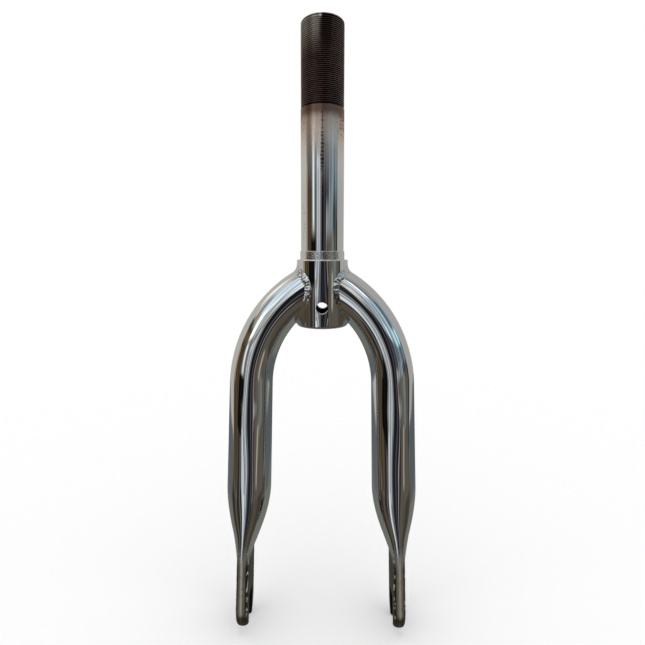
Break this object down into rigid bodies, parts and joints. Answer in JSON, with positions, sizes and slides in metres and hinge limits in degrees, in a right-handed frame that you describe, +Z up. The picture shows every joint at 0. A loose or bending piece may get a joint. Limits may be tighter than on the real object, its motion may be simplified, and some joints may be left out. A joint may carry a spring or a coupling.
{
  "type": "bicycle fork",
  "caption": "Small one-piece bicycle fork with a threaded steerer, curved tubular legs and flattened slotted ends for the wheel's axle, chrome plated and worn",
  "frame": {"origin": "on the steering axis, at the shoulder that the lower headset race sits on", "axes": "+Z up the steerer, +X to the right seen from the front, front of the fork at -Y"},
  "size_m": [0.1082, 0.0623, 0.3371],
  "materials": {
    "chrome": "polished plating, hazed brown in places; the threaded stretch is dark bare steel",
    "weld_chrome": "plated over rippled weld"
  },
  "bodies": {
    "root": {"steer_tube": "chrome", "crown_sleeve": "chrome", "left_leg": "chrome", "right_leg": "chrome", "left_weld_bead": "weld_chrome", "right_weld_bead": "weld_chrome"}
  },
  "joints": []
}
